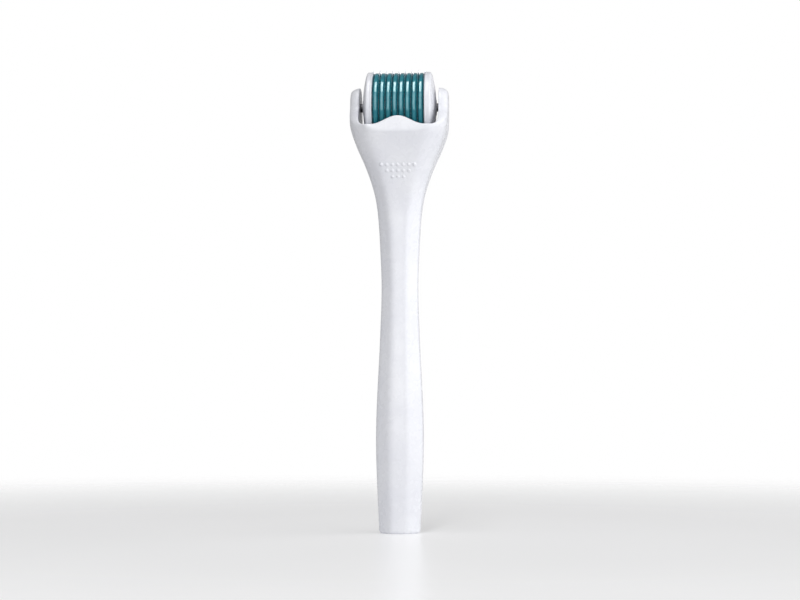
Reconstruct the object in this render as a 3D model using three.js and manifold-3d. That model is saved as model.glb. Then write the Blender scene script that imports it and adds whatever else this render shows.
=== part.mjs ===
// A derma roller: a hollow two-shell handle whose fork carries a free-turning drum of micro-needle discs.
// Millimetres. X is the drum's axle, +Z runs up the handle, and -Y is the front, where the thumb rests.
// The origin is the centre of the handle's flat end.

import * as THREE from "three";
import { mergeVertices } from "three/addons/utils/BufferGeometryUtils.js";
import Module from "manifold-3d";

const wasm = await Module();
wasm.setup();

// ---- driving dimensions ----

const AXLE_HEIGHT = 133;
const ARM_TIP_RADIUS = 6.6;
const ARM_INNER = 12.3;
const TIP_CORNER_RADIUS = 2.4;
const BASE_EDGE_RADIUS = 1;
const WALL = 1.7;
// The shells meet just behind the axle, so the front shell's seats grip the pin past its middle.
const PARTING_Y = 0.5;
const PARTING_HALF_GAP = 0.05;

const NEEDLE_TIP_RADIUS = 12;
const NEEDLE_ROOT_RADIUS = 9.4;
const NEEDLES_PER_DISC = 60;
const DISC_COUNT = 9;
const DISC_PITCH = 2;
const DISC_THICKNESS = 0.25;
const SPACER_RADIUS = 10.9;
const SPACER_GROOVE = 0.45;
const CAP_RADIUS = 11.3;
const CAP_LENGTH = 3.4;
const CORE_ACROSS_FLATS = 11;
const PIN_RADIUS = 1.3;
const PIN_HALF_LENGTH = 14.4;
const TURNED_SEGMENTS = 36;
const POCKET_RADIUS = 12.4;
const POCKET_HALF_LENGTH = 9.2;
const POCKET_END_RADIUS = 11.9;

const RUNNING_CLEARANCE = 0.09;
const SEAT_CLEARANCE = 0.05;
const FACE_GAP = 0.05;
const FIT_GAP = 0.1;
const FAR = 40;

// ---- the handle's outline ----

// Key sections from the flat end up: height, half width, depth of the front and of the back from the
// handle's middle, and how much of the half width and depth the flat facets take at the front and back.
const SECTIONS = [
  { z: 0, width: 6.4, front: 5.6, back: 5.7, frontFacet: 0.4, backFacet: 0.45 },
  { z: 30, width: 7.4, front: 6.4, back: 7.0, frontFacet: 0.4, backFacet: 0.45 },
  { z: 62, width: 6.1, front: 5.5, back: 5.5, frontFacet: 0.4, backFacet: 0.45 },
  { z: 76, width: 5.7, front: 5.3, back: 4.8, frontFacet: 0.4, backFacet: 0.45 },
  { z: 88, width: 6.1, front: 5.7, back: 4.9, frontFacet: 0.41, backFacet: 0.45 },
  { z: 98, width: 6.7, front: 6.5, back: 5.3, frontFacet: 0.46, backFacet: 0.48 },
  { z: 104, width: 7.5, front: 7.5, back: 5.9, frontFacet: 0.51, backFacet: 0.54 },
  { z: 109, width: 8.8, front: 8.8, back: 6.7, frontFacet: 0.56, backFacet: 0.62 },
  { z: 114.5, width: 10.8, front: 10.5, back: 7.7, frontFacet: 0.61, backFacet: 0.7 },
  { z: 120, width: 13.2, front: 12.4, back: 8.7, frontFacet: 0.64, backFacet: 0.74 },
  { z: 125.4, width: 15.0, front: 14.5, back: 9.4, frontFacet: 0.64, backFacet: 0.76 },
  { z: 129, width: 15.3, front: 15.5, back: 9.6, frontFacet: 0.64, backFacet: 0.76 },
  { z: 140, width: 15.3, front: 15.5, back: 9.6, frontFacet: 0.64, backFacet: 0.76 },
];
const HANDLE_TOP = AXLE_HEIGHT + ARM_TIP_RADIUS;
const FACET_SHARPNESS = 9;

// Above its crease the front leans back, which makes the bright bevel under the lip.
const BEVEL_CREASE_HEIGHT = AXLE_HEIGHT - 9;
const BEVEL_CREASE_DEPTH = 14.1;
const BEVEL_SLOPE = 0.26;

const SECTION_POINTS = 40;
const CAVITY_POINTS = 24;
const CAVITY_BOTTOM = 2.2;
const CAVITY_TOP = 117.4;

// The lip's edge across the front, as drops below the axle: a hump between two valleys.
const LIP_HUMP_DROP = 4.2;
const LIP_VALLEY_DROP = 6.9;
const LIP_HUMP_HALF_WIDTH = 8.2;
const LIP_CORNER_RADIUS = 2;
const BACK_LIP_DROP = 10.8;
const BACK_CORNER_RADIUS = 1.6;

// The arms seen from the side: how far the front and back edges spread below the round tip.
const ARM_TRIM_START = 11;
const ARM_FRONT_SPREAD = 6.9;
const ARM_FRONT_RUN = 8;
const ARM_BACK_SPREAD = 2.8;
const ARM_BACK_RUN = 11;

const DOT_ROWS = [
  { drop: 19.1, columns: 7 },
  { drop: 20.9, columns: 5 },
  { drop: 22.7, columns: 3 },
];
const DOT_PITCH = 1.7;
const DOT_RADIUS = 0.5;
const DOT_HEIGHT = 0.28;
const DOT_ROOT = 0.5;

const PEG_HEIGHTS = [15, 55, 95];
const PEG_RADIUS = 1.1;
const PEG_LENGTH = 2.4;
const PEG_BOSS_RADIUS = 2.2;
const SOCKET_RADIUS = 1.3;
const SOCKET_DEPTH = 2.8;

// ---- materials ----

const whitePlastic = { color: 0xeeeff2, roughness: 0.28, metalness: 0 };
const tealPlastic = { color: 0x0f6f7c, roughness: 0.15, metalness: 0 };
const corePlastic = { color: 0xd9dcdf, roughness: 0.4, metalness: 0 };
const needleSteel = { color: 0xc9ccd0, roughness: 0.25, metalness: 1 };
const pinSteel = { color: 0x5b5e63, roughness: 0.3, metalness: 1 };

// ---- helpers ----

const roller = new THREE.Group();

function addPart(name, solid, finish) {
  const mesh = new THREE.Mesh(toGeometry(solid), new THREE.MeshStandardMaterial(finish));
  mesh.name = name;
  roller.add(mesh);
}

function signedVolume(positions, index) {
  const [a, b, c] = [new THREE.Vector3(), new THREE.Vector3(), new THREE.Vector3()];
  let total = 0;
  for (let i = 0; i < index.length; i += 3) {
    a.fromArray(positions, 3 * index[i]);
    b.fromArray(positions, 3 * index[i + 1]);
    c.fromArray(positions, 3 * index[i + 2]);
    total += a.dot(b.cross(c)) / 6;
  }
  return total;
}

function toSolid(geometry) {
  const bare = geometry.clone();
  bare.deleteAttribute("normal");
  bare.deleteAttribute("uv");
  const merged = mergeVertices(bare, 1e-4);
  const vertProperties = new Float32Array(merged.attributes.position.array);
  const triVerts = new Uint32Array(merged.index.array);
  if (signedVolume(vertProperties, triVerts) < 0) {
    triVerts.reverse();
  }
  return new wasm.Manifold(new wasm.Mesh({ numProp: 3, vertProperties, triVerts }));
}

function toGeometry(solid) {
  const mesh = solid.getMesh();
  const geometry = new THREE.BufferGeometry();
  geometry.setAttribute("position", new THREE.BufferAttribute(new Float32Array(mesh.vertProperties), 3));
  geometry.setIndex(new THREE.BufferAttribute(new Uint32Array(mesh.triVerts), 1));
  geometry.computeVertexNormals();
  return geometry;
}

function box([x0, x1], [y0, y1], [z0, z1]) {
  const geometry = new THREE.BoxGeometry(x1 - x0, y1 - y0, z1 - z0);
  geometry.translate((x0 + x1) / 2, (y0 + y1) / 2, (z0 + z1) / 2);
  return toSolid(geometry);
}

// An outline drawn in Y and Z, run along X from start to end.
function alongX(shape, start, end, curveSegments = 24) {
  const geometry = new THREE.ExtrudeGeometry(shape, {
    depth: end - start,
    bevelEnabled: false,
    curveSegments,
  });
  const yzToX = new THREE.Matrix4().set(0, 0, 1, 0, 1, 0, 0, 0, 0, 1, 0, 0, 0, 0, 0, 1);
  geometry.applyMatrix4(yzToX).translate(start, 0, 0);
  return toSolid(geometry);
}

// An outline drawn in X and Z, run along Y from start to end.
function alongY(shape, start, end) {
  const geometry = new THREE.ExtrudeGeometry(shape, { depth: end - start, bevelEnabled: false });
  geometry.rotateX(Math.PI / 2).translate(0, end, 0);
  return toSolid(geometry);
}

// A profile of [along X, radius] points, turned about the axle.
function turned(profile, segments) {
  const points = profile.map(([x, radius]) => new THREE.Vector2(radius, x));
  const geometry = new THREE.LatheGeometry(points, segments);
  geometry.rotateZ(-Math.PI / 2).translate(0, 0, AXLE_HEIGHT);
  return toSolid(geometry);
}

// A round rod along Y.
function rodAlongY(x, z, radius, start, end, sides = 12) {
  const geometry = new THREE.CylinderGeometry(radius, radius, end - start, sides);
  geometry.translate(x, (start + end) / 2, z);
  return toSolid(geometry);
}

function smoothstep(t) {
  const s = Math.min(Math.max(t, 0), 1);
  return s * s * (3 - 2 * s);
}

function steps(count, place) {
  return Array.from({ length: count + 1 }, (_, i) => place(i / count));
}

// ---- the handle's sections ----

// The slope at key section i, from its neighbours.
function slope(i, key) {
  const below = SECTIONS[Math.max(i - 1, 0)];
  const above = SECTIONS[Math.min(i + 1, SECTIONS.length - 1)];
  return (above[key] - below[key]) / (above.z - below.z);
}

// A size at any height, on a smooth curve through the key sections.
function sized(z, key) {
  const upper = Math.max(SECTIONS.findIndex((section) => section.z >= z), 1);
  const [a, b] = [SECTIONS[upper - 1], SECTIONS[upper]];
  const span = b.z - a.z;
  const t = (z - a.z) / span;
  const start = (1 + 2 * t) * (1 - t) ** 2 * a[key] + t * (1 - t) ** 2 * span * slope(upper - 1, key);
  const end = t * t * (3 - 2 * t) * b[key] + t * t * (t - 1) * span * slope(upper, key);
  return start + end;
}

function frontDepth(z) {
  return Math.min(sized(z, "front"), BEVEL_CREASE_DEPTH - BEVEL_SLOPE * (z - BEVEL_CREASE_HEIGHT));
}

// How much a rounded edge of that radius draws the surface in, at a distance from the end face.
function edgeInset(distance, radius) {
  const reach = Math.max(radius - distance, 0);
  return radius - Math.sqrt(radius * radius - reach * reach);
}

// A soft-edged octagon: two flat faces and the chamfer between them, blended by a high power.
function sectionRadius(angle, width, depth, facet) {
  const u = Math.abs(Math.cos(angle)) / width;
  const v = Math.abs(Math.sin(angle)) / depth;
  const chamfer = 1 + facet;
  const sum = u ** FACET_SHARPNESS + v ** FACET_SHARPNESS + ((u + v) / chamfer) ** FACET_SHARPNESS;
  return ((1 + chamfer ** -FACET_SHARPNESS) / sum) ** (1 / FACET_SHARPNESS);
}

function section(z, points, inset) {
  const baseInset = inset > 0 ? 0 : edgeInset(z, BASE_EDGE_RADIUS);
  const tipInset = edgeInset(HANDLE_TOP - z, TIP_CORNER_RADIUS);
  return Array.from({ length: points }, (_, i) => {
    const angle = (2 * Math.PI * i) / points;
    const isFront = Math.sin(angle) < 0;
    const width = sized(z, "width") - inset - baseInset - tipInset;
    const depth = (isFront ? frontDepth(z) : sized(z, "back")) - inset - baseInset;
    const radius = sectionRadius(angle, width, depth, sized(z, isFront ? "frontFacet" : "backFacet"));
    return new THREE.Vector3(radius * Math.cos(angle), radius * Math.sin(angle), z);
  });
}

// A closed skin over sections at those heights.
function loft(heights, points, inset) {
  const rings = heights.map((z) => section(z, points, inset));
  const vertices = rings.flat();
  const index = [];
  for (let ring = 0; ring + 1 < rings.length; ring += 1) {
    for (let i = 0; i < points; i += 1) {
      const a = ring * points + i;
      const b = ring * points + ((i + 1) % points);
      index.push(a, b, b + points, a, b + points, a + points);
    }
  }
  for (const ring of [0, rings.length - 1]) {
    const centre = vertices.push(new THREE.Vector3(0, 0, heights[ring])) - 1;
    for (let i = 0; i < points; i += 1) {
      const edge = [ring * points + i, ring * points + ((i + 1) % points)];
      index.push(...(ring === 0 ? edge.reverse() : edge), centre);
    }
  }
  const geometry = new THREE.BufferGeometry().setFromPoints(vertices);
  geometry.setIndex(index);
  return toSolid(geometry);
}

// ---- the handle's cuts ----

// A U-shaped channel about the axle, open upwards.
function channel(radius, halfLength) {
  const shape = new THREE.Shape();
  shape.moveTo(-radius, AXLE_HEIGHT + FAR);
  shape.lineTo(-radius, AXLE_HEIGHT);
  shape.absarc(0, AXLE_HEIGHT, radius, Math.PI, 2 * Math.PI, false);
  shape.lineTo(radius, AXLE_HEIGHT + FAR);
  return alongX(shape, -halfLength, halfLength, 28);
}

// The pocket in which the drum turns: wide for the needles, narrower beside the caps.
function drumPocket() {
  return channel(POCKET_RADIUS, POCKET_HALF_LENGTH).add(channel(POCKET_END_RADIUS, ARM_INNER));
}

function lipDrop(x) {
  const hump = (1 + Math.cos(Math.PI * Math.min(Math.abs(x) / LIP_HUMP_HALF_WIDTH, 1))) / 2;
  return LIP_VALLEY_DROP - (LIP_VALLEY_DROP - LIP_HUMP_DROP) * hump;
}

// Everything above the wave-shaped lip, between the arms, in front of the axle.
function frontLipCut() {
  const valleyZ = AXLE_HEIGHT - LIP_VALLEY_DROP;
  const cornerZ = valleyZ + LIP_CORNER_RADIUS;
  const cornerX = ARM_INNER - LIP_CORNER_RADIUS;
  const shape = new THREE.Shape();
  shape.moveTo(-ARM_INNER, AXLE_HEIGHT + FAR);
  shape.lineTo(-ARM_INNER, cornerZ);
  shape.absarc(-cornerX, cornerZ, LIP_CORNER_RADIUS, Math.PI, 1.5 * Math.PI, false);
  for (const x of steps(16, (t) => (2 * t - 1) * LIP_HUMP_HALF_WIDTH)) {
    shape.lineTo(x, AXLE_HEIGHT - lipDrop(x));
  }
  shape.absarc(cornerX, cornerZ, LIP_CORNER_RADIUS, -0.5 * Math.PI, 0, false);
  shape.lineTo(ARM_INNER, AXLE_HEIGHT + FAR);
  return alongY(shape, -FAR, 0);
}

// Everything above the plain lip at the back.
function backLipCut() {
  const lipZ = AXLE_HEIGHT - BACK_LIP_DROP;
  const cornerZ = lipZ + BACK_CORNER_RADIUS;
  const cornerX = ARM_INNER - BACK_CORNER_RADIUS;
  const shape = new THREE.Shape();
  shape.moveTo(-ARM_INNER, AXLE_HEIGHT + FAR);
  shape.lineTo(-ARM_INNER, cornerZ);
  shape.absarc(-cornerX, cornerZ, BACK_CORNER_RADIUS, Math.PI, 1.5 * Math.PI, false);
  shape.absarc(cornerX, cornerZ, BACK_CORNER_RADIUS, -0.5 * Math.PI, 0, false);
  shape.lineTo(ARM_INNER, AXLE_HEIGHT + FAR);
  return alongY(shape, 0, FAR);
}

// What lies outside the arms' side view: in front of them, behind them and above their round tips.
function armSideCut(start, end) {
  const frontY = (drop) => -ARM_TIP_RADIUS - ARM_FRONT_SPREAD * smoothstep(drop / ARM_FRONT_RUN);
  const backY = (drop) => ARM_TIP_RADIUS + ARM_BACK_SPREAD * smoothstep(drop / ARM_BACK_RUN);
  const shape = new THREE.Shape();
  shape.moveTo(-FAR, AXLE_HEIGHT - ARM_FRONT_RUN);
  for (const drop of steps(6, (t) => (1 - t) * ARM_FRONT_RUN)) {
    shape.lineTo(frontY(drop), AXLE_HEIGHT - drop);
  }
  shape.absarc(0, AXLE_HEIGHT, ARM_TIP_RADIUS, Math.PI, 0, true);
  for (const drop of steps(6, (t) => t * ARM_BACK_RUN)) {
    shape.lineTo(backY(drop), AXLE_HEIGHT - drop);
  }
  shape.lineTo(FAR, AXLE_HEIGHT - ARM_BACK_RUN);
  shape.lineTo(FAR, AXLE_HEIGHT + FAR);
  shape.lineTo(-FAR, AXLE_HEIGHT + FAR);
  return alongX(shape, start, end, 10);
}

function thumbDots() {
  const dots = DOT_ROWS.flatMap(({ drop, columns }) => {
    const z = AXLE_HEIGHT - drop;
    const face = -frontDepth(z);
    return Array.from({ length: columns }, (_, i) => {
      const x = (i - (columns - 1) / 2) * DOT_PITCH;
      return rodAlongY(x, z, DOT_RADIUS, face - DOT_HEIGHT, face + DOT_ROOT, 8);
    });
  });
  return wasm.Manifold.union(dots);
}

function handleWhole() {
  const baseHeights = [0, 0.15, 0.45, 1];
  const gripHeights = steps(11, (t) => 8 + t * 88);
  const headHeights = steps(11, (t) => 99 + t * 25);
  const armHeights = steps(4, (t) => 126.5 + t * 10.5);
  const tipHeights = [138, 138.8, 139.3, HANDLE_TOP];
  const heights = [...baseHeights, ...gripHeights, ...headHeights, ...armHeights, ...tipHeights];
  const outside = loft(heights, SECTION_POINTS, 0);
  const cavityHeights = [CAVITY_BOTTOM, ...steps(15, (t) => 8 + t * (CAVITY_TOP - 8))];
  const cavity = loft(cavityHeights, CAVITY_POINTS, WALL);
  const seat = turned(
    [
      [-PIN_HALF_LENGTH - FIT_GAP, 0],
      [-PIN_HALF_LENGTH - FIT_GAP, PIN_RADIUS + SEAT_CLEARANCE],
      [PIN_HALF_LENGTH + FIT_GAP, PIN_RADIUS + SEAT_CLEARANCE],
      [PIN_HALF_LENGTH + FIT_GAP, 0],
    ],
    24,
  );
  return outside
    .subtract(cavity)
    .subtract(drumPocket())
    .subtract(frontLipCut())
    .subtract(backLipCut())
    .subtract(armSideCut(ARM_TRIM_START, FAR))
    .subtract(armSideCut(-FAR, -ARM_TRIM_START))
    .subtract(seat);
}

// A rod along Y at each peg's height.
function pegRods(radius, start, end) {
  return wasm.Manifold.union(PEG_HEIGHTS.map((z) => rodAlongY(0, z, radius, start, end)));
}

function makeHandle() {
  const whole = handleWhole();
  const acrossX = [-FAR, FAR];
  const fullHeight = [-FAR, AXLE_HEIGHT + FAR];
  const frontEnd = PARTING_Y - PARTING_HALF_GAP;
  const backStart = PARTING_Y + PARTING_HALF_GAP;
  // The bosses run into the middle of the walls, and no further.
  const midWall = loft([1, ...steps(12, (t) => 8 + t * 100)], CAVITY_POINTS, WALL / 2);
  const front = whole
    .intersect(box(acrossX, [-FAR, frontEnd], fullHeight))
    .add(pegRods(PEG_BOSS_RADIUS, -FAR, frontEnd).intersect(midWall))
    .subtract(pegRods(SOCKET_RADIUS, frontEnd - SOCKET_DEPTH, FAR))
    .add(thumbDots());
  const back = whole
    .intersect(box(acrossX, [backStart, FAR], fullHeight))
    .add(pegRods(PEG_BOSS_RADIUS, backStart, FAR).intersect(midWall))
    .add(pegRods(PEG_RADIUS, frontEnd - PEG_LENGTH, backStart + WALL));
  addPart("handle_front_shell", front, whitePlastic);
  addPart("handle_back_shell", back, whitePlastic);
}

// ---- the drum ----

const CORE_HALF_LENGTH = ((DISC_COUNT - 1) * DISC_PITCH + DISC_THICKNESS) / 2 + 1.4;
const CAP_START = ((DISC_COUNT - 1) * DISC_PITCH + DISC_THICKNESS) / 2 + FACE_GAP;
const CAP_RECESS_DEPTH = 1.5;
const CORE_CORNER_RADIUS = CORE_ACROSS_FLATS / Math.sqrt(3);

function hexagon(cornerRadius) {
  const corners = steps(5, (t) => {
    const angle = (t * 5 * Math.PI) / 3;
    return new THREE.Vector2(cornerRadius * Math.cos(angle), AXLE_HEIGHT + cornerRadius * Math.sin(angle));
  });
  return new THREE.Shape(corners);
}

// A star-edged outline: each needle tapers from a root between its neighbours to a sharp tip.
function needleOutline() {
  const halfPitches = 2 * NEEDLES_PER_DISC;
  const points = Array.from({ length: halfPitches }, (_, i) => {
    const radius = i % 2 === 0 ? NEEDLE_TIP_RADIUS : NEEDLE_ROOT_RADIUS;
    const angle = (i * 2 * Math.PI) / halfPitches;
    return new THREE.Vector2(radius * Math.cos(angle), AXLE_HEIGHT + radius * Math.sin(angle));
  });
  return new THREE.Shape(points);
}

function discCentre(i) {
  return (i - (DISC_COUNT - 1) / 2) * DISC_PITCH;
}

function makePin() {
  const pin = turned(
    [
      [-PIN_HALF_LENGTH, 0],
      [-PIN_HALF_LENGTH, PIN_RADIUS],
      [PIN_HALF_LENGTH, PIN_RADIUS],
      [PIN_HALF_LENGTH, 0],
    ],
    24,
  );
  addPart("axle_pin", pin, pinSteel);
}

function pinBore() {
  const radius = PIN_RADIUS + RUNNING_CLEARANCE;
  return turned([[-FAR, 0], [-FAR, radius], [FAR, radius], [FAR, 0]], 24);
}

function makeCore() {
  const bobbin = alongX(hexagon(CORE_CORNER_RADIUS), -CORE_HALF_LENGTH, CORE_HALF_LENGTH);
  addPart("drum_core", bobbin.subtract(pinBore()), corePlastic);
}

function makeDiscs() {
  for (let i = 0; i < DISC_COUNT; i += 1) {
    const outline = needleOutline();
    outline.holes.push(hexagon(CORE_CORNER_RADIUS + FIT_GAP));
    const start = discCentre(i) - DISC_THICKNESS / 2;
    const disc = alongX(outline, start, start + DISC_THICKNESS);
    addPart(`needle_disc_${i + 1}`, disc, needleSteel);
  }
}

// Each ring is crowned: its edges dip into a groove beside each disc.
function makeSpacers() {
  const halfLength = (DISC_PITCH - DISC_THICKNESS) / 2 - FACE_GAP;
  const crownHalf = 0.6 * halfLength;
  const keyway = alongX(hexagon(CORE_CORNER_RADIUS + FIT_GAP), -FAR, FAR);
  for (let i = 0; i + 1 < DISC_COUNT; i += 1) {
    const middle = discCentre(i) + DISC_PITCH / 2;
    const ring = turned(
      [
        [middle - halfLength, 0],
        [middle - halfLength, SPACER_RADIUS - SPACER_GROOVE],
        [middle - crownHalf, SPACER_RADIUS],
        [middle + crownHalf, SPACER_RADIUS],
        [middle + halfLength, SPACER_RADIUS - SPACER_GROOVE],
        [middle + halfLength, 0],
      ],
      TURNED_SEGMENTS,
    );
    addPart(`spacer_ring_${i + 1}`, ring.subtract(keyway), tealPlastic);
  }
}

// A cap has a straight rim, a low dome with a small hub, and a recess for the core's end.
function makeCaps() {
  const rimLength = 1.6;
  const edge = 0.35;
  const hubRadius = 3;
  const domeStart = CAP_START + rimLength;
  const capEnd = CAP_START + CAP_LENGTH;
  const bore = PIN_RADIUS + RUNNING_CLEARANCE;
  const recess = CORE_CORNER_RADIUS + FIT_GAP;
  const dome = steps(5, (t) => {
    const radius = CAP_RADIUS - edge - t * (CAP_RADIUS - edge - hubRadius);
    const rise = Math.sin((t * Math.PI) / 2) ** 0.8;
    return [domeStart + edge + rise * (capEnd - domeStart - edge), radius];
  });
  const profile = [
    [CAP_START + CAP_RECESS_DEPTH, bore],
    [CAP_START + CAP_RECESS_DEPTH, recess],
    [CAP_START, recess],
    [CAP_START, CAP_RADIUS],
    [domeStart, CAP_RADIUS],
    ...dome,
    [capEnd, bore],
    [CAP_START + CAP_RECESS_DEPTH, bore],
  ];
  const mirrored = profile.map(([x, radius]) => [-x, radius]);
  addPart("end_cap_left", turned(mirrored, TURNED_SEGMENTS), whitePlastic);
  addPart("end_cap_right", turned(profile, TURNED_SEGMENTS), whitePlastic);
}

makeHandle();
makePin();
makeCore();
makeDiscs();
makeSpacers();
makeCaps();

export default roller;
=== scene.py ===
"""A derma roller: a white two-shell handle whose fork carries a drum of needle discs and teal rings.

Every visible piece is rebuilt finely around its CAD node. The drum's pieces are turned or stamped outlines.
The two handle shells are carved from one distance field, so that every edge of the fork has its own radius,
and the mesh is then settled onto the field and takes its shading normals from it.
Lengths are millimetres until a mesh is made, and the frame is the CAD's: X is the axle, -Y the front.
"""

import math

import bmesh
import bpy
import numpy as np
import openvdb
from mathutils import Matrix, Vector


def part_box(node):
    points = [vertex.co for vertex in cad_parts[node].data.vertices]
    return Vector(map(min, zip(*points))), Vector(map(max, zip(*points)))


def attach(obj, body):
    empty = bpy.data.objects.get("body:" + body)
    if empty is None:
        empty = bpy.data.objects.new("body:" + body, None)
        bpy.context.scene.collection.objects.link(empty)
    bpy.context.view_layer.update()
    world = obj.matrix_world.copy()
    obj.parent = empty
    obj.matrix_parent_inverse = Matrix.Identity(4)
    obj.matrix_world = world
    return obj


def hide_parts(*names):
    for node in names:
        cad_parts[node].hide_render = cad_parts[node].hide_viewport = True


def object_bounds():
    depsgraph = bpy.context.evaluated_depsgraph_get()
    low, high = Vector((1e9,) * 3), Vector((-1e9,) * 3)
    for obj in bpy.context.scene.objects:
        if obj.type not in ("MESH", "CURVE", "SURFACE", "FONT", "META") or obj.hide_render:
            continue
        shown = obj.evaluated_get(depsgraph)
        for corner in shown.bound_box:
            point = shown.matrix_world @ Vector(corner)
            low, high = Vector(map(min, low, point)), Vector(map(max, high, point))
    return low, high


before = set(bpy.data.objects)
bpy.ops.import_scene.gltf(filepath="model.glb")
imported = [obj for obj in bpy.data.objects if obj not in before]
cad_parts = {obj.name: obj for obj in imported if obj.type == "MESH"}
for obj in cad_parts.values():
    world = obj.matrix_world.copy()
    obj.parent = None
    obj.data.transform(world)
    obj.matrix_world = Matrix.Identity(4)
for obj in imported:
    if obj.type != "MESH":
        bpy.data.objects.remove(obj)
CAD_LOW, CAD_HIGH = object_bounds()

MM = 0.001


def extent(node, axis):
    """The lowest and highest millimetre of a CAD node along X, Y or Z."""
    low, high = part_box(node)
    index = "XYZ".index(axis)
    return low[index] / MM, high[index] / MM


# ---- driving sizes, from the frame ----

AXLE_Z = sum(extent("axle_pin", "Z")) / 2
PIN_RADIUS = extent("axle_pin", "Y")[1]
PIN_END = extent("axle_pin", "X")[1]
HANDLE_TOP = extent("handle_front_shell", "Z")[1]
ARM_TIP_RADIUS = HANDLE_TOP - AXLE_Z
PARTING_Y = 0.5

DISCS = [f"needle_disc_{i}" for i in range(1, 10)]
RINGS = [f"spacer_ring_{i}" for i in range(1, 9)]
NEEDLE_TIP_RADIUS = extent(DISCS[0], "Y")[1]
RING_RADIUS = extent(RINGS[0], "Y")[1]
CAP_START, CAP_END = extent("end_cap_right", "X")
CAP_RADIUS = extent("end_cap_right", "Y")[1]
CORE_HALF_LENGTH = extent("drum_core", "X")[1]
CORE_APOTHEM = extent("drum_core", "Z")[1] - AXLE_Z

# ---- the handle's sizes: the CAD solid's, with crisper facets and edge radii of its own ----

# Key sections from the flat end up: height, half width, front depth, back depth, front facet, back facet.
SECTIONS = np.array(
    [
        (0, 6.4, 5.6, 5.7, 0.40, 0.45),
        (30, 7.4, 6.4, 7.0, 0.40, 0.45),
        (62, 6.1, 5.5, 5.5, 0.40, 0.45),
        (76, 5.7, 5.3, 4.8, 0.40, 0.45),
        (88, 6.1, 5.7, 4.9, 0.41, 0.45),
        (98, 6.7, 6.5, 5.3, 0.46, 0.48),
        (104, 7.5, 7.5, 5.9, 0.51, 0.54),
        (109, 8.8, 8.8, 6.7, 0.56, 0.62),
        (114.5, 10.8, 10.5, 7.7, 0.61, 0.70),
        (120, 13.2, 12.4, 8.7, 0.64, 0.74),
        (125.4, 15.0, 14.5, 9.4, 0.64, 0.76),
        (129, 15.3, 15.5, 9.6, 0.64, 0.76),
        (140, 15.3, 15.5, 9.6, 0.64, 0.76),
    ]
)
WIDTH, FRONT, BACK, FRONT_FACET, BACK_FACET = range(1, 6)
FACET_SHARPNESS = 18
BEVEL_CREASE_Z = AXLE_Z - 9
BEVEL_CREASE_DEPTH = 14.1
BEVEL_SLOPE = 0.26

WALL = 1.7
CAVITY_BOTTOM = 2.2
CAVITY_TOP = 117.4
ARM_INNER = 12.3
POCKET_RADIUS = 12.4
POCKET_END_RADIUS = 11.9
POCKET_END_START = 8.8
POCKET_END_RUN = 0.8
LIP_HUMP_DROP = 4.2
LIP_VALLEY_DROP = 6.9
LIP_HUMP_HALF_WIDTH = 8.2
BACK_LIP_DROP = 10.8
ARM_TRIM_START = 11
ARM_ROOT_FILLET = 2.0
ARM_FRONT_SPREAD = 6.9
ARM_FRONT_RUN = 8
ARM_BACK_SPREAD = 2.8
ARM_BACK_RUN = 11

DOT_ROWS = [(19.1, 7), (20.9, 5), (22.7, 3)]
DOT_PITCH = 1.7
DOT_RADIUS = 0.52
DOT_HEIGHT = 0.28

PEG_HEIGHTS = (15, 55, 95)
PEG_RADIUS = 1.1
PEG_LENGTH = 2.4
PEG_BOSS_RADIUS = 2.2
SOCKET_RADIUS = 1.3
SOCKET_DEPTH = 2.8
SEAT_CLEARANCE = 0.05
SEAT_END_CLEARANCE = 0.1

# Radii of the moulded edges.
BASE_EDGE = 1.0
TIP_CORNER = 2.4
ARM_EDGE = 2.2
FORK_EDGE = 0.5
BEVEL_EDGE = 0.4
POCKET_EDGE = 0.25
POCKET_CORNER = 0.5
CAVITY_CORNER = 0.8
FRONT_CORNER = 2.0
BACK_CORNER = 1.6
PARTING_EDGE = 0.13
PARTING_GAP = 0.01
PEG_EDGE = 0.3
PEG_FILLET = 0.2
BOSS_FILLET = 0.3
DOT_FILLET = 0.1

# The drum's fits.
RUNNING_CLEARANCE = 0.09
KEYWAY_CLEARANCE = 0.1
BORE = PIN_RADIUS + RUNNING_CLEARANCE


# ---- distance fields: negative inside, positive outside, in millimetres ----

# How far to either side a field is sampled to find its slope.
SCALING_STEP = 0.05
SETTLING_STEP = 0.01
NORMAL_STEP = 0.03
# The spacing of the heights that the smooth curves through the key sections are worked out at.
CURVE_STEP = 0.05
# Keeps the skin field finite on the handle's axis.
LEAST_GAUGE = 0.05


def round_and(a, b, radius):
    """Where both solids are, with the edge between them rounded."""
    beyond_a = np.maximum(a + radius, 0)
    beyond_b = np.maximum(b + radius, 0)
    return np.minimum(np.maximum(a, b), -radius) + np.hypot(beyond_a, beyond_b)


def round_or(a, b, radius):
    """Where either solid is, with a fillet of that radius in the corner between them."""
    return -round_and(-a, -b, radius)


def smoothstep(t):
    t = np.clip(t, 0, 1)
    return t * t * (3 - 2 * t)


def edge_inset(distance, radius):
    """How far a rounded edge draws the surface in, at a distance from the end face."""
    reach = np.clip(radius - distance, 0, radius)
    return radius - np.sqrt(radius * radius - reach * reach)


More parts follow.
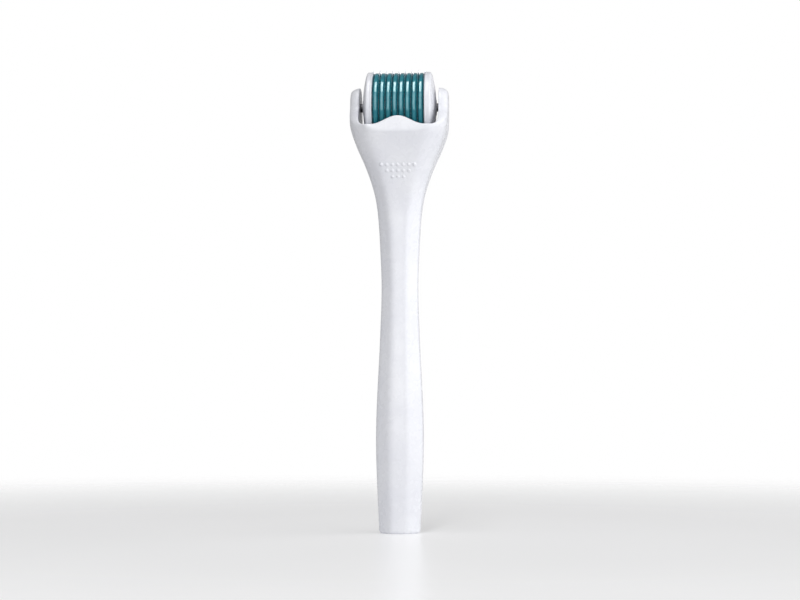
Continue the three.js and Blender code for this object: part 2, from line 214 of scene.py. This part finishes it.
def section_curve(column):
    """A lookup for one section size at any height, on a smooth curve through the key sections."""
    keys, values = SECTIONS[:, 0], SECTIONS[:, column]
    below = np.maximum(np.arange(len(keys)) - 1, 0)
    above = np.minimum(np.arange(len(keys)) + 1, len(keys) - 1)
    slopes = (values[above] - values[below]) / (keys[above] - keys[below])
    heights = np.arange(keys[0], keys[-1], CURVE_STEP)
    upper = np.clip(np.searchsorted(keys, heights), 1, len(keys) - 1)
    lower = upper - 1
    span = keys[upper] - keys[lower]
    t = (heights - keys[lower]) / span
    sizes = (
        (1 + 2 * t) * (1 - t) ** 2 * values[lower]
        + t * (1 - t) ** 2 * span * slopes[lower]
        + t * t * (3 - 2 * t) * values[upper]
        + t * t * (t - 1) * span * slopes[upper]
    )
    return lambda z: np.interp(z, heights, sizes)


CURVES = {column: section_curve(column) for column in (WIDTH, FRONT, BACK, FRONT_FACET, BACK_FACET)}


def skin(x, y, z):
    """Outside the handle's soft-edged octagon, measured straight out from its axis."""
    is_front = y < 0
    width = CURVES[WIDTH](z) - edge_inset(HANDLE_TOP - z, TIP_CORNER)
    depth = np.where(is_front, CURVES[FRONT](z), CURVES[BACK](z))
    chamfer = 1 + np.where(is_front, CURVES[FRONT_FACET](z), CURVES[BACK_FACET](z))
    u = np.abs(x) / width
    v = np.abs(y) / depth
    total = u**FACET_SHARPNESS + v**FACET_SHARPNESS + ((u + v) / chamfer) ** FACET_SHARPNESS
    gauge = (total / (1 + chamfer ** -float(FACET_SHARPNESS))) ** (1 / FACET_SHARPNESS)
    return np.hypot(x, y) * (1 - 1 / np.maximum(gauge, LEAST_GAUGE))


def gradient(field, x, y, z, step):
    return [
        (field(x + step, y, z) - field(x - step, y, z)) / (2 * step),
        (field(x, y + step, z) - field(x, y - step, z)) / (2 * step),
        (field(x, y, z + step) - field(x, y, z - step)) / (2 * step),
    ]


def skin_distance(x, y, z):
    """The skin field scaled to a true distance, so that walls and radii come out right on its slopes."""
    slopes = gradient(skin, x, y, z, SCALING_STEP)
    return skin(x, y, z) / np.sqrt(sum(s * s for s in slopes))


def arm_side(y, z):
    """Outside the arms' side view: a round tip above edges that spread down to the shoulders."""
    drop = AXLE_Z - z
    front = -y - ARM_TIP_RADIUS - ARM_FRONT_SPREAD * smoothstep(drop / ARM_FRONT_RUN)
    back = y - ARM_TIP_RADIUS - ARM_BACK_SPREAD * smoothstep(drop / ARM_BACK_RUN)
    return np.where(drop > 0, np.maximum(front, back), np.hypot(y, drop) - ARM_TIP_RADIUS)


def bevel_plane(y, z):
    """In front of the bevel under the lip, which leans back above its crease."""
    depth = BEVEL_CREASE_DEPTH - BEVEL_SLOPE * (z - BEVEL_CREASE_Z)
    return (-y - depth) / math.hypot(1, BEVEL_SLOPE)


def fork_void(x, y, z):
    """The space between the arms: the drum's pocket, and all that is above the front and back lips."""
    drop = AXLE_Z - z
    between = np.abs(x) - ARM_INNER
    narrowing = smoothstep((np.abs(x) - POCKET_END_START) / POCKET_END_RUN)
    reach = POCKET_RADIUS - (POCKET_RADIUS - POCKET_END_RADIUS) * narrowing
    pocket = np.where(drop > 0, np.hypot(y, drop), np.abs(y)) - reach
    pocket = round_and(pocket, between, POCKET_CORNER)
    hump = (1 + np.cos(np.pi * np.minimum(np.abs(x) / LIP_HUMP_HALF_WIDTH, 1))) / 2
    front_lip = drop - LIP_VALLEY_DROP + (LIP_VALLEY_DROP - LIP_HUMP_DROP) * hump
    front_lip = round_and(front_lip, between, FRONT_CORNER)
    back_lip = round_and(drop - BACK_LIP_DROP, between, BACK_CORNER)
    return round_or(pocket, np.where(y < 0, front_lip, back_lip), POCKET_EDGE)


def hollow_handle(x, y, z):
    """The whole handle before it is parted, with its cavity and the pin's seats."""
    skin_out = skin_distance(x, y, z)
    solid = round_and(skin_out, -z, BASE_EDGE)
    solid = round_and(solid, bevel_plane(y, z), BEVEL_EDGE)
    arms = round_or(arm_side(y, z), np.abs(x) - ARM_TRIM_START, ARM_ROOT_FILLET)
    solid = round_and(solid, arms, ARM_EDGE)
    solid = round_and(solid, -fork_void(x, y, z), FORK_EDGE)
    cavity_ends = np.maximum(z - CAVITY_TOP, CAVITY_BOTTOM - z)
    cavity = round_and(skin_out + WALL, cavity_ends, CAVITY_CORNER)
    seat = np.hypot(y, z - AXLE_Z) - PIN_RADIUS - SEAT_CLEARANCE
    seat = np.maximum(seat, np.abs(x) - PIN_END - SEAT_END_CLEARANCE)
    return np.maximum(np.maximum(solid, -cavity), -seat), skin_out


def peg_rods(x, z, radius):
    """Outside the rods that run along Y at each locating peg."""
    return np.min([np.hypot(x, z - height) for height in PEG_HEIGHTS], axis=0) - radius


def thumb_dots(x, y, z):
    """Outside the raised domes under the thumb."""
    ball = (DOT_RADIUS**2 + DOT_HEIGHT**2) / (2 * DOT_HEIGHT)
    nearest = np.full(np.broadcast(x, y, z).shape, np.inf)
    for drop, columns in DOT_ROWS:
        row_z = AXLE_Z - drop
        centre_y = ball - DOT_HEIGHT - CURVES[FRONT](row_z)
        for i in range(columns):
            centre_x = (i - (columns - 1) / 2) * DOT_PITCH
            apart = np.sqrt((x - centre_x) ** 2 + (y - centre_y) ** 2 + (z - row_z) ** 2)
            nearest = np.minimum(nearest, apart)
    return nearest - ball


FRONT_END_Y = PARTING_Y - PARTING_GAP / 2
BACK_START_Y = PARTING_Y + PARTING_GAP / 2


def front_shell_field(x, y, z):
    body, skin_out = hollow_handle(x, y, z)
    boss = np.maximum(peg_rods(x, z, PEG_BOSS_RADIUS), skin_out + WALL / 2)
    body = round_or(body, boss, BOSS_FILLET)
    socket = np.maximum(peg_rods(x, z, SOCKET_RADIUS), FRONT_END_Y - SOCKET_DEPTH - y)
    body = np.maximum(body, -socket)
    body = round_or(body, thumb_dots(x, y, z), DOT_FILLET)
    return round_and(body, y - FRONT_END_Y, PARTING_EDGE)


def back_shell_field(x, y, z):
    body, skin_out = hollow_handle(x, y, z)
    boss = np.maximum(peg_rods(x, z, PEG_BOSS_RADIUS), skin_out + WALL / 2)
    body = round_or(body, boss, BOSS_FILLET)
    body = round_and(body, BACK_START_Y - y, PARTING_EDGE)
    peg_ends = np.maximum(FRONT_END_Y - PEG_LENGTH - y, y - BACK_START_Y - WALL)
    pegs = round_and(peg_rods(x, z, PEG_RADIUS), peg_ends, PEG_EDGE)
    return round_or(body, pegs, PEG_FILLET)


# ---- meshes ----

# The field is only worked out inside the skin and this far outside it.
NEAR_SKIN = 1.5
# Its samples are cut off at this distance to either side of the surface.
BAND = 1.0
# Limits that keep a settling point from jumping where the field is nearly flat.
LEAST_STEEPNESS = 0.1
LONGEST_MOVE = 0.1


def stretch(*runs):
    """Grid heights from runs of (start, end, step), each beginning where the last one ended."""
    parts = [np.linspace(a, b, max(round((b - a) / step), 1), endpoint=False) for a, b, step in runs]
    return np.concatenate([*parts, [runs[-1][1]]])


def settle(field, points, rounds):
    """Moves points onto the field's surface, and gives the surface's normals there."""
    for _ in range(rounds):
        x, y, z = points.T
        slopes = np.stack(gradient(field, x, y, z, SETTLING_STEP), axis=1)
        steepness = np.maximum((slopes**2).sum(axis=1), LEAST_STEEPNESS)
        move = np.clip(field(x, y, z) / steepness, -LONGEST_MOVE, LONGEST_MOVE)
        points = points - slopes * move[:, None]
    slopes = np.stack(gradient(field, *points.T, NORMAL_STEP), axis=1)
    return points, slopes / np.maximum(np.linalg.norm(slopes, axis=1), 1e-6)[:, None]


def new_object(name, vertices, faces, material):
    mesh = bpy.data.meshes.new(name)
    mesh.from_pydata((np.asarray(vertices) * MM).tolist(), [], faces)
    mesh.validate()
    mesh.materials.append(material)
    obj = bpy.data.objects.new(name, mesh)
    bpy.context.scene.collection.objects.link(obj)
    return obj


def carved(name, field, grid_axes, face_limit, material):
    """A mesh of the field's surface, sampled on a grid that is finer where the shape is, then thinned."""
    x, y, z = np.meshgrid(*grid_axes, indexing="ij", sparse=True)
    near = skin(x, y, z) < NEAR_SKIN
    samples = np.full(near.shape, BAND, np.float32)
    columns = [np.broadcast_to(axis, near.shape)[near] for axis in (x, y, z)]
    samples[near] = np.clip(field(*columns), -BAND, BAND)
    grid = openvdb.FloatGrid(background=BAND)
    grid.copyFromArray(samples)
    steps, quads = grid.convertToQuads()
    points = [np.interp(steps[:, k], np.arange(len(axis)), axis) for k, axis in enumerate(grid_axes)]
    points, _ = settle(field, np.stack(points, axis=1), rounds=3)
    obj = new_object(name, points, quads.tolist(), material)
    thin_out(obj, face_limit)
    corners = np.empty(len(obj.data.vertices) * 3)
    obj.data.vertices.foreach_get("co", corners)
    points, normals = settle(field, corners.reshape(-1, 3) / MM, rounds=2)
    obj.data.vertices.foreach_set("co", (points * MM).ravel())
    obj.data.shade_smooth()
    obj.data.normals_split_custom_set_from_vertices(normals.tolist())
    return obj


def thin_out(obj, face_limit):
    """Joins triangles where the surface is flattest until no more than the limit are left."""
    triangles = 2 * len(obj.data.polygons)
    thinner = obj.modifiers.new("thinner", "DECIMATE")
    thinner.ratio = min(1, face_limit / triangles)
    evaluated = obj.evaluated_get(bpy.context.evaluated_depsgraph_get())
    thinned = bpy.data.meshes.new_from_object(evaluated)
    obj.modifiers.clear()
    obj.data = thinned


def rounded(corners, radii, steps=4, closed=True):
    """An outline of [along X, radius] corners, each replaced by an arc of its own radius."""
    outline = []
    count = len(corners)
    for i, (corner, radius) in enumerate(zip(corners, radii)):
        here = np.array(corner, float)
        if radius == 0 or (not closed and i in (0, count - 1)):
            outline.append(here)
            continue
        before = np.array(corners[i - 1], float) - here
        after = np.array(corners[(i + 1) % count], float) - here
        before /= np.linalg.norm(before)
        after /= np.linalg.norm(after)
        half = math.acos(np.clip(before @ after, -1, 1)) / 2
        reach = radius / math.tan(half)
        middle = before + after
        centre = here + middle / np.linalg.norm(middle) * radius / math.sin(half)
        start = here + before * reach - centre
        end = here + after * reach - centre
        sweep = math.pi - 2 * half
        for t in np.linspace(0, 1, steps + 1):
            a = math.sin((1 - t) * sweep) / math.sin(sweep)
            b = math.sin(t * sweep) / math.sin(sweep)
            outline.append(centre + a * start + b * end)
    return outline


def hexagon(apothem):
    """A bore or bar whose radius follows a hexagon with a corner at angle zero."""

    def radius(angle):
        turn = (angle % (math.pi / 3)) - math.pi / 6
        return apothem / np.cos(turn)

    return radius


KEYWAY = hexagon(CORE_APOTHEM + KEYWAY_CLEARANCE)


def loop_faces(loops, count):
    """Quads between closed loops of that many points, with the last loop joined to the first."""
    faces = []
    for loop in range(loops):
        here, there = loop * count, ((loop + 1) % loops) * count
        for j in range(count):
            k = (j + 1) % count
            faces.append((here + j, there + j, there + k, here + k))
    return faces


def turned(name, rings, material, segments=144, sharp_deg=40):
    """A closed ring about the axle. Each ring is (x, radius), and a radius can be a function of the angle."""
    angles = np.arange(segments) * 2 * math.pi / segments
    vertices = []
    for x, radius in rings:
        reach = radius(angles) if callable(radius) else np.full(segments, float(radius))
        ring = [np.full(segments, x), reach * np.cos(angles), AXLE_Z + reach * np.sin(angles)]
        vertices.append(np.stack(ring, axis=1))
    obj = new_object(name, np.concatenate(vertices), loop_faces(len(rings), segments), material)
    finish_shading(obj, sharp_deg)
    return obj


def finish_shading(obj, sharp_deg):
    """Turns the faces outwards and keeps the edges sharper than the given angle."""
    work = bmesh.new()
    work.from_mesh(obj.data)
    bmesh.ops.recalc_face_normals(work, faces=work.faces)
    work.to_mesh(obj.data)
    work.free()
    obj.data.shade_smooth()
    obj.data.set_sharp_from_angle(angle=math.radians(sharp_deg))


# ---- materials ----


class Shader:
    """A principled material and short ways to add procedural nodes to it."""

    def __init__(self, name):
        self.material = bpy.data.materials.new(name)
        self.material.use_nodes = True
        self.tree = self.material.node_tree
        self.surface = self.tree.nodes["Principled BSDF"]
        self.place = self.add("ShaderNodeTexCoord").outputs["Object"]

    def add(self, kind, **settings):
        node = self.tree.nodes.new(kind)
        for key, value in settings.items():
            setattr(node, key, value)
        return node

    def link(self, source, target):
        self.tree.links.new(source, target)

    def set(self, **inputs):
        for key, value in inputs.items():
            self.surface.inputs[key.replace("_", " ")].default_value = value

    def stretched(self, scale):
        """The object's own coordinates in millimetres, scaled along each axis."""
        node = self.add("ShaderNodeMapping")
        node.inputs["Scale"].default_value = [s / MM for s in scale]
        self.link(self.place, node.inputs["Vector"])
        return node.outputs["Vector"]

    def noise(self, size, detail=3, stretch=(1, 1, 1)):
        """Noise with features of that size in millimetres."""
        node = self.add("ShaderNodeTexNoise")
        node.inputs["Scale"].default_value = 1.0
        node.inputs["Detail"].default_value = detail
        self.link(self.stretched([s / size for s in stretch]), node.inputs["Vector"])
        return node.outputs["Fac"]

    def between(self, factor, low, high, from_low=0.3, from_high=0.7):
        """Maps a factor to a range of values."""
        node = self.add("ShaderNodeMapRange")
        node.inputs["From Min"].default_value = from_low
        node.inputs["From Max"].default_value = from_high
        node.inputs["To Min"].default_value = low
        node.inputs["To Max"].default_value = high
        node.interpolation_type = "SMOOTHSTEP"
        self.link(factor, node.inputs["Value"])
        return node.outputs["Result"]

    def blend(self, factor, low, high):
        """A colour between two colours."""
        node = self.add("ShaderNodeMix", data_type="RGBA")
        node.inputs["A"].default_value = (*low, 1)
        node.inputs["B"].default_value = (*high, 1)
        self.link(factor, node.inputs["Factor"])
        return node.outputs["Result"]

    def tint(self, size, low, high):
        """Clouds of that size in millimetres between two base colours."""
        cloud = self.between(self.noise(size), 0, 1)
        self.link(self.blend(cloud, low, high), self.surface.inputs["Base Color"])

    def gloss(self, size, low, high):
        """A roughness that wanders between two values, in patches of that size in millimetres."""
        self.link(self.between(self.noise(size), low, high), self.surface.inputs["Roughness"])

    def bump(self, *layers):
        """Stacks bumps, each of (height factor, depth in millimetres)."""
        normal = None
        for factor, depth in layers:
            node = self.add("ShaderNodeBump")
            node.inputs["Strength"].default_value = 1.0
            node.inputs["Distance"].default_value = depth * MM
            self.link(factor, node.inputs["Height"])
            if normal is not None:
                self.link(normal, node.inputs["Normal"])
            normal = node.outputs["Normal"]
        self.link(normal, self.surface.inputs["Normal"])


def white_plastic():
    """Gloss white moulded plastic: a faint fine grain, slow sink waves and uneven gloss."""
    shader = Shader("white_plastic_gloss")
    shader.set(IOR=1.5)
    shader.tint(9, (0.72, 0.73, 0.78), (0.76, 0.77, 0.81))
    shader.gloss(2.5, 0.22, 0.32)
    shader.bump((shader.noise(6, detail=1), 0.006), (shader.noise(0.22), 0.0008))
    return shader.material


def teal_plastic():
    """Deep gloss teal plastic, slightly clouded, with turning marks around each ring."""
    shader = Shader("teal_plastic_gloss")
    shader.set(IOR=1.55, Specular_Tint=(0.75, 1, 1, 1))
    shader.tint(1.5, (0.012, 0.150, 0.200), (0.022, 0.205, 0.255))
    shader.gloss(0.8, 0.08, 0.14)
    shader.bump((shader.noise(0.12, stretch=(1, 0.1, 0.1)), 0.0002))
    return shader.material


def pale_plastic():
    """Satin grey plastic of the hidden core."""
    shader = Shader("core_plastic_satin")
    shader.tint(3, (0.62, 0.63, 0.65), (0.70, 0.71, 0.73))
    shader.gloss(1, 0.35, 0.5)
    shader.bump((shader.noise(0.2), 0.002))
    return shader.material


def needle_steel():
    """Bright stamped steel with rolling marks across the sheet."""
    shader = Shader("needle_steel_bright")
    shader.set(Metallic=1.0)
    shader.tint(0.8, (0.66, 0.67, 0.70), (0.80, 0.81, 0.84))
    shader.gloss(0.4, 0.16, 0.30)
    shader.bump((shader.noise(0.05, stretch=(1, 0.15, 1)), 0.0008))
    return shader.material


def pin_steel():
    """Steel with a dark base colour and fine rings around the pin."""
    shader = Shader("pin_steel_dark")
    shader.set(Metallic=1.0)
    shader.tint(0.7, (0.10, 0.10, 0.11), (0.18, 0.18, 0.19))
    shader.gloss(0.3, 0.25, 0.40)
    shader.bump((shader.noise(0.04, stretch=(1, 0.05, 0.05)), 0.0015))
    return shader.material


WHITE = white_plastic()
TEAL = teal_plastic()
PALE = pale_plastic()
STEEL = needle_steel()
PIN = pin_steel()

# ---- pieces ----


def stand_for(obj, node, body):
    """Puts a piece in its CAD node's place."""
    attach(obj, body)
    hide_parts(node)


# Grid steps in millimetres: fine at edges, finer across the parting line, coarse along the plain handle.
FINE = 0.17
SEAM = 0.06
X_GRID = stretch((-15.9, 15.9, FINE))
FRONT_GRID = stretch((-14.8, 0.2, FINE), (0.2, 0.8, SEAM))
BACK_GRID = stretch((-3.0, 0.2, FINE), (0.2, 0.8, SEAM), (0.8, 10.4, FINE))
Z_GRID = stretch(
    (-0.4, 1.6, FINE), (1.6, 104, 1.0), (104, 109, 0.5), (109, 115, FINE), (115, 119, 0.4), (119, 140.2, FINE)
)
FRONT_FACES = 150000
BACK_FACES = 120000


def make_shells():
    front = carved("handle_front", front_shell_field, (X_GRID, FRONT_GRID, Z_GRID), FRONT_FACES, WHITE)
    back = carved("handle_back", back_shell_field, (X_GRID, BACK_GRID, Z_GRID), BACK_FACES, WHITE)
    stand_for(front, "handle_front_shell", "handle")
    stand_for(back, "handle_back_shell", "handle")


def make_pin():
    """A straight pin with rounded edges and flat ends."""
    edge = 0.25
    segments = 64
    corners = [(-PIN_END, 0.0), (-PIN_END, PIN_RADIUS), (PIN_END, PIN_RADIUS), (PIN_END, 0.0)]
    outline = rounded(corners, (0, edge, edge, 0), closed=False)
    pin = turned("axle", outline[1:-1], PIN, segments)
    cap_ends(pin, segments)
    stand_for(pin, "axle_pin", "handle")


def cap_ends(obj, segments):
    """Replaces a turned bar's inner wall by a face across each end."""
    work = bmesh.new()
    work.from_mesh(obj.data)
    work.verts.ensure_lookup_table()
    count = len(work.verts)
    first = {work.verts[i] for i in range(segments)}
    last = {work.verts[i] for i in range(count - segments, count)}
    inner = [f for f in work.faces if any(v in first for v in f.verts) and any(v in last for v in f.verts)]
    bmesh.ops.delete(work, geom=inner, context="FACES_ONLY")
    bmesh.ops.holes_fill(work, edges=[e for e in work.edges if e.is_boundary])
    bmesh.ops.recalc_face_normals(work, faces=work.faces)
    work.to_mesh(obj.data)
    work.free()


def make_core():
    """A hexagonal bar with a round bore, chamfered at every edge of its ends."""
    chamfer = 0.3
    bore_chamfer = 0.2
    bar = hexagon(CORE_APOTHEM)
    end_bar = hexagon(CORE_APOTHEM - chamfer)
    end = CORE_HALF_LENGTH
    rings = [
        (-end, BORE + bore_chamfer),
        (-end, end_bar),
        (-end + chamfer, bar),
        (end - chamfer, bar),
        (end, end_bar),
        (end, BORE + bore_chamfer),
        (end - bore_chamfer, BORE),
        (-end + bore_chamfer, BORE),
    ]
    core = turned("core", rings, PALE, segments=96)
    stand_for(core, "drum_core", "drum")


OUTLINE_POINTS = 41


def make_rings():
    """Rings with a nearly flat crown, whose shoulders fall into a groove beside each disc."""
    crown_share = 0.48
    crown_drop = 0.02
    groove_depth = 0.7
    across = np.linspace(-1, 1, OUTLINE_POINTS)
    shoulder = smoothstep((np.abs(across) - crown_share) / (1 - crown_share))
    heights = RING_RADIUS - crown_drop * across**2 - groove_depth * shoulder
    for i, node in enumerate(RINGS):
        low, high = extent(node, "X")
        middle, half = (low + high) / 2, (high - low) / 2
        outline = [(middle + half * u, height) for u, height in zip(across, heights)]
        ring = turned(f"teal_ring_{i + 1}", [(low, KEYWAY), *outline, (high, KEYWAY)], TEAL)
        stand_for(ring, node, "drum")


NEEDLES = 60
NEEDLE_FOOT = RING_RADIUS - 0.9
NEEDLE_HALF_WIDTH = 0.27
NEEDLE_TAPER = 24
DISC_BEVEL = 0.05


def needle_outline(shrink):
    """The disc's star-edged outline as (angle, radius) pairs; shrink draws it in, for its bevelled faces."""
    foot = NEEDLE_FOOT - shrink
    tip = NEEDLE_TIP_RADIUS - NEEDLE_TAPER * shrink
    half_angle = (NEEDLE_HALF_WIDTH - 0.5 * shrink) / foot
    pitch = 2 * math.pi / NEEDLES
    outline = []
    for i in range(NEEDLES):
        middle = i * pitch
        outline += [(middle - half_angle, foot), (middle, tip), (middle + half_angle, foot)]
        gap = pitch - 2 * half_angle
        outline += [(middle + half_angle + gap * t, foot) for t in (0.33, 0.67)]
    return outline


def make_discs():
    """Star-edged discs, thickest along the middle of each needle, with a hexagonal hole."""
    face = needle_outline(DISC_BEVEL)
    middle = needle_outline(0)
    hole = [(angle, KEYWAY(angle)) for angle, _ in face]
    for i, node in enumerate(DISCS):
        low, high = extent(node, "X")
        layers = [(low, hole), (low, face), ((low + high) / 2, middle), (high, face), (high, hole)]
        vertices = [
            (x, radius * math.cos(angle), AXLE_Z + radius * math.sin(angle))
            for x, outline in layers
            for angle, radius in outline
        ]
        disc = new_object(f"needles_{i + 1}", vertices, loop_faces(len(layers), len(face)), STEEL)
        finish_shading(disc, sharp_deg=25)
        stand_for(disc, node, "drum")


def make_caps():
    """Domed caps: a bead beside the rings, a straight rim, a low dome and a small hub round the pin."""
    recess = CORE_APOTHEM / math.cos(math.pi / 6) + KEYWAY_CLEARANCE
    recess_end = CAP_START + 1.5
    bead_end = CAP_START + 0.42
    rim_start = CAP_START + 0.6
    rim_end = CAP_START + 1.55
    rim_radius = CAP_RADIUS - 0.12
    rim_edge = 0.3
    dome_start = rim_end + rim_edge
    dome_end = CAP_END - 0.25
    dome_radius = rim_radius - rim_edge
    hub_radius = 2.6
    hub_edge = 0.12
    dome_points = 22
    dome_fullness = 0.8
    dome = []
    for t in np.linspace(0, 1, dome_points):
        rise = math.sin(t * math.pi / 2) ** dome_fullness
        x = dome_start + rise * (dome_end - dome_start)
        dome.append((x, dome_radius - t * (dome_radius - hub_radius), 0))
    # Each corner is (x, radius, the radius that its edge is rounded to).
    corners = [
        (recess_end, BORE, 0),
        (recess_end, recess, 0),
        (CAP_START, recess, 0.1),
        (CAP_START, CAP_RADIUS, 0.18),
        (bead_end, CAP_RADIUS, 0.15),
        (rim_start - 0.1, rim_radius - 0.04, 0.03),
        (rim_start, rim_radius, 0.03),
        (rim_end, rim_radius, rim_edge),
        *dome,
        (CAP_END, hub_radius - hub_edge, hub_edge),
        (CAP_END, BORE, 0.1),
    ]
    outline = rounded([(x, radius) for x, radius, _ in corners], [edge for _, _, edge in corners])
    for side, node in ((-1, "end_cap_left"), (1, "end_cap_right")):
        cap = turned(node.removeprefix("end_"), [(side * x, radius) for x, radius in outline], WHITE)
        stand_for(cap, node, "drum")


make_shells()
make_pin()
make_core()
make_rings()
make_discs()
make_caps()

# ---- stage, light and camera ----


def make_stage():
    """A pale, faintly glowing floor that fades into the white backdrop."""
    reach = 600
    fade_start = 0.1
    fade_end = 0.5
    corners = [(-reach, -reach, 0), (reach, -reach, 0), (reach, reach, 0), (-reach, reach, 0)]
    shader = Shader("floor_white")
    shader.set(Roughness=0.3, Emission_Color=(1, 1, 1, 1), Emission_Strength=0.2)
    shader.tint(60, (0.79, 0.79, 0.80), (0.81, 0.81, 0.82))
    distance = shader.add("ShaderNodeVectorMath", operation="LENGTH")
    shader.link(shader.place, distance.inputs[0])
    fade = shader.between(distance.outputs["Value"], 0, 1, from_low=fade_start, from_high=fade_end)
    clear = shader.add("ShaderNodeBsdfTransparent")
    mix = shader.add("ShaderNodeMixShader")
    shader.link(fade, mix.inputs["Fac"])
    shader.link(shader.surface.outputs["BSDF"], mix.inputs[1])
    shader.link(clear.outputs["BSDF"], mix.inputs[2])
    shader.link(mix.outputs["Shader"], shader.tree.nodes["Material Output"].inputs["Surface"])
    floor = new_object("floor", corners, [(0, 1, 2, 3)], shader.material)


def make_world():
    """Soft studio light, strongest from above and from the right, in front of a plain white backdrop."""
    world = bpy.data.worlds.new("studio")
    world.use_nodes = True
    tree = world.node_tree
    direction = tree.nodes.new("ShaderNodeTexCoord").outputs["Generated"]

    def lobe(axis, start, end, dark, bright):
        """A brightness that rises smoothly towards a direction."""
        along = tree.nodes.new("ShaderNodeVectorMath")
        along.operation = "DOT_PRODUCT"
        along.inputs[1].default_value = axis
        tree.links.new(direction, along.inputs[0])
        rise = tree.nodes.new("ShaderNodeMapRange")
        rise.interpolation_type = "SMOOTHSTEP"
        for label, value in (("From Min", start), ("From Max", end), ("To Min", dark), ("To Max", bright)):
            rise.inputs[label].default_value = value
        tree.links.new(along.outputs["Value"], rise.inputs["Value"])
        return rise.outputs["Result"]

    def combined(operation, first, second):
        node = tree.nodes.new("ShaderNodeMath")
        node.operation = operation
        tree.links.new(first, node.inputs[0])
        tree.links.new(second, node.inputs[1])
        return node.outputs["Value"]

    walls = lobe((1, 0, 0), start=-0.9, end=0.3, dark=0.44, bright=0.55)
    right = lobe((0.90, -0.42, 0.1), start=0.3, end=0.95, dark=0, bright=1.5)
    dimmer_above = lobe((0, 0, 1), start=0.2, end=0.9, dark=1, bright=0.5)
    above_floor = lobe((0, 0, 1), start=-0.35, end=-0.25, dark=0, bright=1)
    shade = combined("MULTIPLY", dimmer_above, above_floor)
    light = combined("MULTIPLY", combined("ADD", walls, right), shade)
    seen = tree.nodes.new("ShaderNodeLightPath").outputs["Is Camera Ray"]
    tree.links.new(combined("MAXIMUM", light, seen), tree.nodes["Background"].inputs["Strength"])
    tree.nodes["Background"].inputs["Color"].default_value = (1, 1, 1, 1)
    bpy.context.scene.world = world


# Both lamps hang in one plane a little left of the roller, so that the rings' highlights stay straight.
LAMP_REACH = 0.8
LAMP_ASIDE = -0.055


def softbox(name, elevation, size, brightness):
    """A rectangular lamp in front of the roller's head, facing it. Lengths are metres, angles degrees."""
    lamp = bpy.data.lights.new(name, "AREA")
    lamp.shape = "RECTANGLE"
    lamp.size, lamp.size_y = size
    lamp.energy = brightness * math.pi * size[0] * size[1]
    obj = bpy.data.objects.new(name, lamp)
    bpy.context.scene.collection.objects.link(obj)
    rise = math.radians(elevation)
    height = AXLE_Z * MM + LAMP_REACH * math.sin(rise)
    obj.location = (LAMP_ASIDE, -LAMP_REACH * math.cos(rise), height)
    obj.rotation_euler = (math.pi / 2 - rise, 0, 0)


def make_camera():
    """A long lens, low and a little to the right of the front. Lengths are metres."""
    azimuth = math.radians(4)
    distance = 0.583
    eye_height = 0.040
    middle = Vector((0, 0, (CAD_LOW.z + CAD_HIGH.z) / 2))
    camera = bpy.data.cameras.new("camera")
    camera.lens = 84
    camera.sensor_width = 36
    obj = bpy.data.objects.new("camera", camera)
    bpy.context.scene.collection.objects.link(obj)
    obj.location = (distance * math.sin(azimuth), -distance * math.cos(azimuth), eye_height)
    obj.rotation_euler = (middle - obj.location).to_track_quat("-Z", "Y").to_euler()
    bpy.context.scene.camera = obj


make_stage()
make_world()
softbox("overhead", elevation=66, size=(0.06, 0.6), brightness=17)
softbox("front", elevation=14, size=(0.08, 0.85), brightness=5)
make_camera()
bpy.context.scene.view_settings.view_transform = "Standard"
